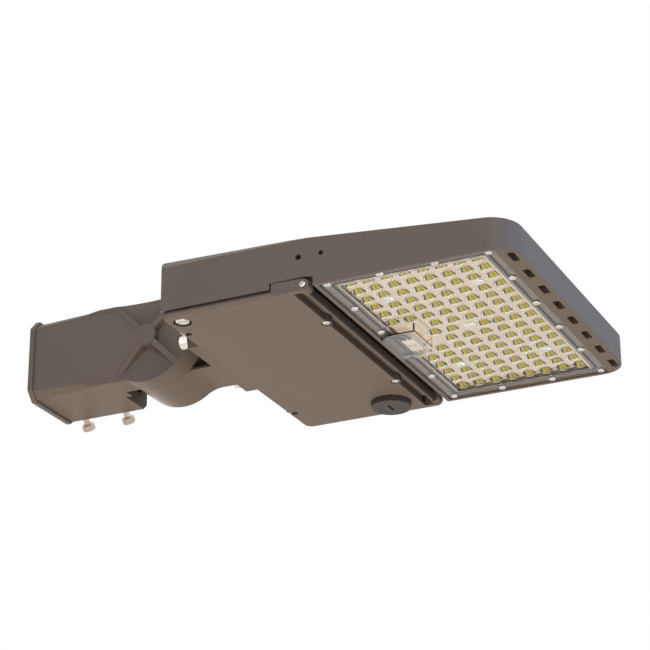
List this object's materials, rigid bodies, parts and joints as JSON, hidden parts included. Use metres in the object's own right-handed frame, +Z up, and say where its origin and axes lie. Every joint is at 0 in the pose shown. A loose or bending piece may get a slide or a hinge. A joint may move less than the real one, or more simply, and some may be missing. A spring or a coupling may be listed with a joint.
{
  "type": "shoebox area light",
  "caption": "Flat bronze LED area light on a tilting slip fitter, with a clear lens panel over the LED board and a hinged door under the driver bay.",
  "frame": {"origin": "centre of the mouth of the slip fitter's socket, on the socket's axis, where the pole's tenon enters", "axes": "+X from the mouth to the nose of the head; +Z up, away from the lens and the driver door; +Y to the side of the sensor port, away from the fitter's ribbed disc"},
  "size_m": [0.5425, 0.3064, 0.0997],
  "materials": {
    "bronze_coat": "dark bronze textured powder coat on die-cast aluminium",
    "bronze_plug": "dark bronze moulded plastic",
    "steel": "bright stainless",
    "black_rubber": "black silicone",
    "board_white": "white solder mask",
    "led_phosphor": "yellow phosphor",
    "clear_lens": "clear moulded polycarbonate",
    "connector_white": "white nylon",
    "driver_can": "plain drawn can",
    "surge_black": "black moulded case",
    "terminal_cream": "cream nylon",
    "ground_green": "green dyed steel",
    "lead_black": "black insulated lead"
  },
  "bodies": {
    "slip_fitter": {"fitter_body": "bronze_coat", "pivot_bolt": "steel", "pivot_washer": "steel"},
    "clamp_outer": {"clamp_bolt_outer": "steel"},
    "clamp_inner": {"clamp_bolt_inner": "steel"},
    "head": {"knuckle_arm": "bronze_coat", "arm_gasket": "black_rubber", "arm_bolts": "steel", "arm_washers": "steel", "housing": "bronze_coat", "led_board": "board_white", "led_chips": "led_phosphor", "board_screws": "steel", "board_connector": "connector_white", "led_leads": "lead_black", "lens_gasket": "black_rubber", "lens_panel": "clear_lens", "lens_screws": "steel", "lead_grommet": "black_rubber", "led_driver": "driver_can", "driver_screws": "steel", "surge_protector": "surge_black", "surge_screws": "steel", "terminal_block": "terminal_cream", "terminal_screws": "steel", "ground_screw": "ground_green", "supply_bushing": "black_rubber", "door_catches": "steel", "catch_rivets": "steel", "hinge_pins": "steel"},
    "door": {"driver_door": "bronze_coat", "door_gasket": "black_rubber", "door_screws": "steel", "sensor_plug": "bronze_plug", "plug_gasket": "black_rubber", "plug_nut": "bronze_plug"},
    "captive": {"captive_screw": "steel", "captive_ring": "steel"}
  },
  "joints": [
    {"name": "tilt", "type": "hinge", "parent": "slip_fitter", "child": "head", "pos_m": [0.1275, 0, 0.004], "axis": [0, -1, 0], "range_deg": [-90, 90]},
    {"name": "door_swing", "type": "hinge", "parent": "head", "child": "door", "pos_m": [0.348, 0, -0.0336], "axis": [0, -1, 0], "range_deg": [0, 90]},
    {"name": "clamp_outer_slide", "type": "slide", "parent": "slip_fitter", "child": "clamp_outer", "axis": [0, -0.7071, 0.7071], "range_m": [0, 0.006]},
    {"name": "clamp_inner_slide", "type": "slide", "parent": "slip_fitter", "child": "clamp_inner", "axis": [0, -0.7071, 0.7071], "range_m": [0, 0.006]},
    {"name": "captive_screw_slide", "type": "slide", "parent": "door", "child": "captive", "axis": [0, 0, -1], "range_m": [0, 0.006]}
  ]
}
